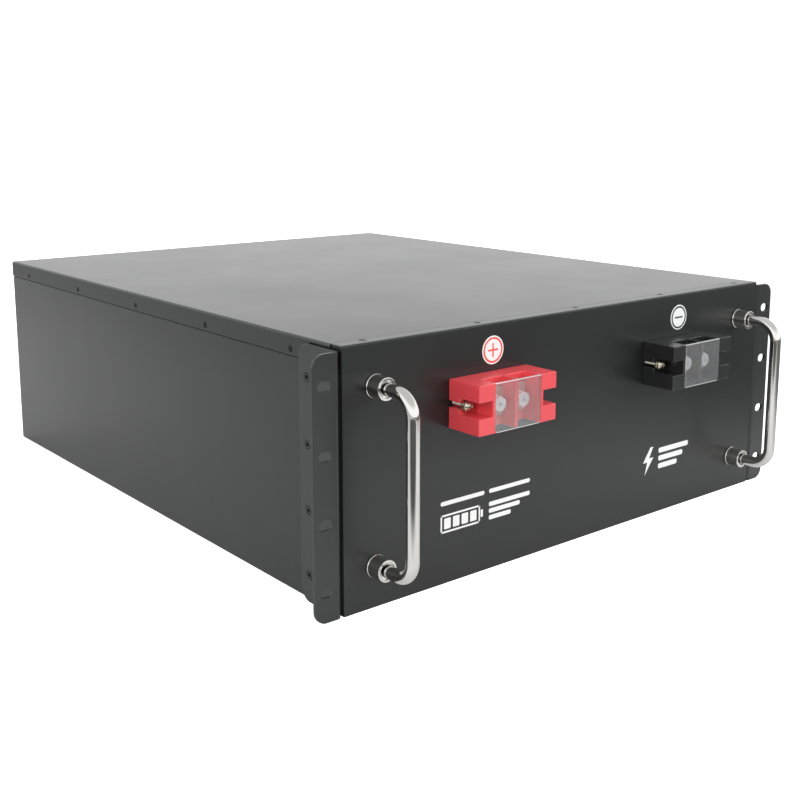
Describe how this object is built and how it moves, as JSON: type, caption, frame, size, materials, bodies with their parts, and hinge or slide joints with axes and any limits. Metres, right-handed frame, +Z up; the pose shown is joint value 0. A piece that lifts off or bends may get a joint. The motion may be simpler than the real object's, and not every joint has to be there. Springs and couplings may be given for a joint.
{
  "type": "rack-mount battery pack",
  "caption": "Black sheet-steel rack battery case with slotted ears, chrome grab handles, and red and black terminal blocks whose clear covers slide up off their cable bolts.",
  "frame": {"origin": "centre of the chassis underside, on the surface the pack stands on", "axes": "+Z up through the top cover, -Y out of the front panel towards the user, +X to the user's right as they face the front panel (the negative terminal's side)"},
  "size_m": [0.4826, 0.5819, 0.177],
  "materials": {
    "powder_coat": "fine-textured black powder coat",
    "chrome": "polished",
    "zinc_steel": "bright zinc plate",
    "yellow_zinc": "yellow zinc plate",
    "red_moulding": "satin moulded",
    "black_moulding": "satin moulded",
    "clear_plastic": "clear",
    "sticker": "satin printed sticker",
    "contact": "tinned copper, satin",
    "cell_can": "drawn aluminium can",
    "aluminium": "mill",
    "carrier": "matte",
    "red_insulation": "matte",
    "black_insulation": "matte"
  },
  "bodies": {
    "case": {"chassis_tub": "powder_coat", "top_cover": "powder_coat", "front_panel": "powder_coat", "rack_ear_left": "powder_coat", "rack_ear_right": "powder_coat", "handle_left": "chrome", "handle_right": "chrome", "handle_ferrule_left_lower": "chrome", "handle_ferrule_left_upper": "chrome", "handle_ferrule_right_lower": "chrome", "handle_ferrule_right_upper": "chrome", "handle_screw_left_lower": "zinc_steel", "handle_screw_left_upper": "zinc_steel", "handle_screw_right_lower": "zinc_steel", "handle_screw_right_upper": "zinc_steel", "positive_terminal_block": "red_moulding", "positive_terminal_plate": "contact", "positive_block_screw_left": "yellow_zinc", "positive_block_screw_right": "yellow_zinc", "positive_label": "sticker", "negative_terminal_block": "black_moulding", "negative_terminal_plate": "contact", "negative_block_screw_left": "yellow_zinc", "negative_block_screw_right": "yellow_zinc", "negative_label": "sticker", "cell_01": "cell_can", "cell_02": "cell_can", "cell_03": "cell_can", "cell_04": "cell_can", "cell_05": "cell_can", "cell_06": "cell_can", "cell_07": "cell_can", "cell_08": "cell_can", "cell_09": "cell_can", "cell_10": "cell_can", "cell_11": "cell_can", "cell_12": "cell_can", "cell_13": "cell_can", "cell_14": "cell_can", "cell_15": "cell_can", "cell_16": "cell_can", "compression_plate_front": "aluminium", "compression_plate_rear": "aluminium", "cell_strap_left": "zinc_steel", "cell_strap_right": "zinc_steel", "busbar_board": "carrier", "battery_manager": "aluminium", "positive_cable": "red_insulation", "negative_cable": "black_insulation", "manager_cable": "black_insulation"},
    "positive_cover": {"positive_clear_cover": "clear_plastic"},
    "negative_cover": {"negative_clear_cover": "clear_plastic"},
    "positive_washers_left": {"positive_washer_left": "zinc_steel"},
    "positive_washers_right": {"positive_washer_right": "zinc_steel"},
    "negative_washers_left": {"negative_washer_left": "zinc_steel"},
    "negative_washers_right": {"negative_washer_right": "zinc_steel"},
    "positive_bolt_left": {"positive_bolt_left": "zinc_steel"},
    "positive_bolt_right": {"positive_bolt_right": "zinc_steel"},
    "negative_bolt_left": {"negative_bolt_left": "zinc_steel"},
    "negative_bolt_right": {"negative_bolt_right": "zinc_steel"}
  },
  "joints": [
    {"name": "positive_cover_slide", "type": "slide", "parent": "case", "child": "positive_cover", "axis": [0, 0, 1], "range_m": [0, 0.034]},
    {"name": "negative_cover_slide", "type": "slide", "parent": "case", "child": "negative_cover", "axis": [0, 0, 1], "range_m": [0, 0.034]},
    {"name": "positive_left_travel", "type": "slide", "parent": "case", "child": "positive_washers_left", "axis": [0, -1, 0], "range_m": [0, 0.003]},
    {"name": "positive_right_travel", "type": "slide", "parent": "case", "child": "positive_washers_right", "axis": [0, -1, 0], "range_m": [0, 0.003]},
    {"name": "negative_left_travel", "type": "slide", "parent": "case", "child": "negative_washers_left", "axis": [0, -1, 0], "range_m": [0, 0.003]},
    {"name": "negative_right_travel", "type": "slide", "parent": "case", "child": "negative_washers_right", "axis": [0, -1, 0], "range_m": [0, 0.003]},
    {"name": "positive_left_turn", "type": "hinge", "parent": "positive_washers_left", "child": "positive_bolt_left", "pos_m": [-0.1061, -0.2897, 0.127], "axis": [0, -1, 0], "range_deg": [0, 1081]},
    {"name": "positive_right_turn", "type": "hinge", "parent": "positive_washers_right", "child": "positive_bolt_right", "pos_m": [-0.0841, -0.2897, 0.127], "axis": [0, -1, 0], "range_deg": [0, 1081]},
    {"name": "negative_left_turn", "type": "hinge", "parent": "negative_washers_left", "child": "negative_bolt_left", "pos_m": [0.0951, -0.2897, 0.127], "axis": [0, -1, 0], "range_deg": [0, 1081]},
    {"name": "negative_right_turn", "type": "hinge", "parent": "negative_washers_right", "child": "negative_bolt_right", "pos_m": [0.1171, -0.2897, 0.127], "axis": [0, -1, 0], "range_deg": [0, 1081]}
  ],
  "couplings": [
    {"joint": "positive_left_turn", "follows": "positive_left_travel", "rad_per_m": 6283.2},
    {"joint": "positive_right_turn", "follows": "positive_right_travel", "rad_per_m": 6283.2},
    {"joint": "negative_left_turn", "follows": "negative_left_travel", "rad_per_m": 6283.2},
    {"joint": "negative_right_turn", "follows": "negative_right_travel", "rad_per_m": 6283.2}
  ]
}
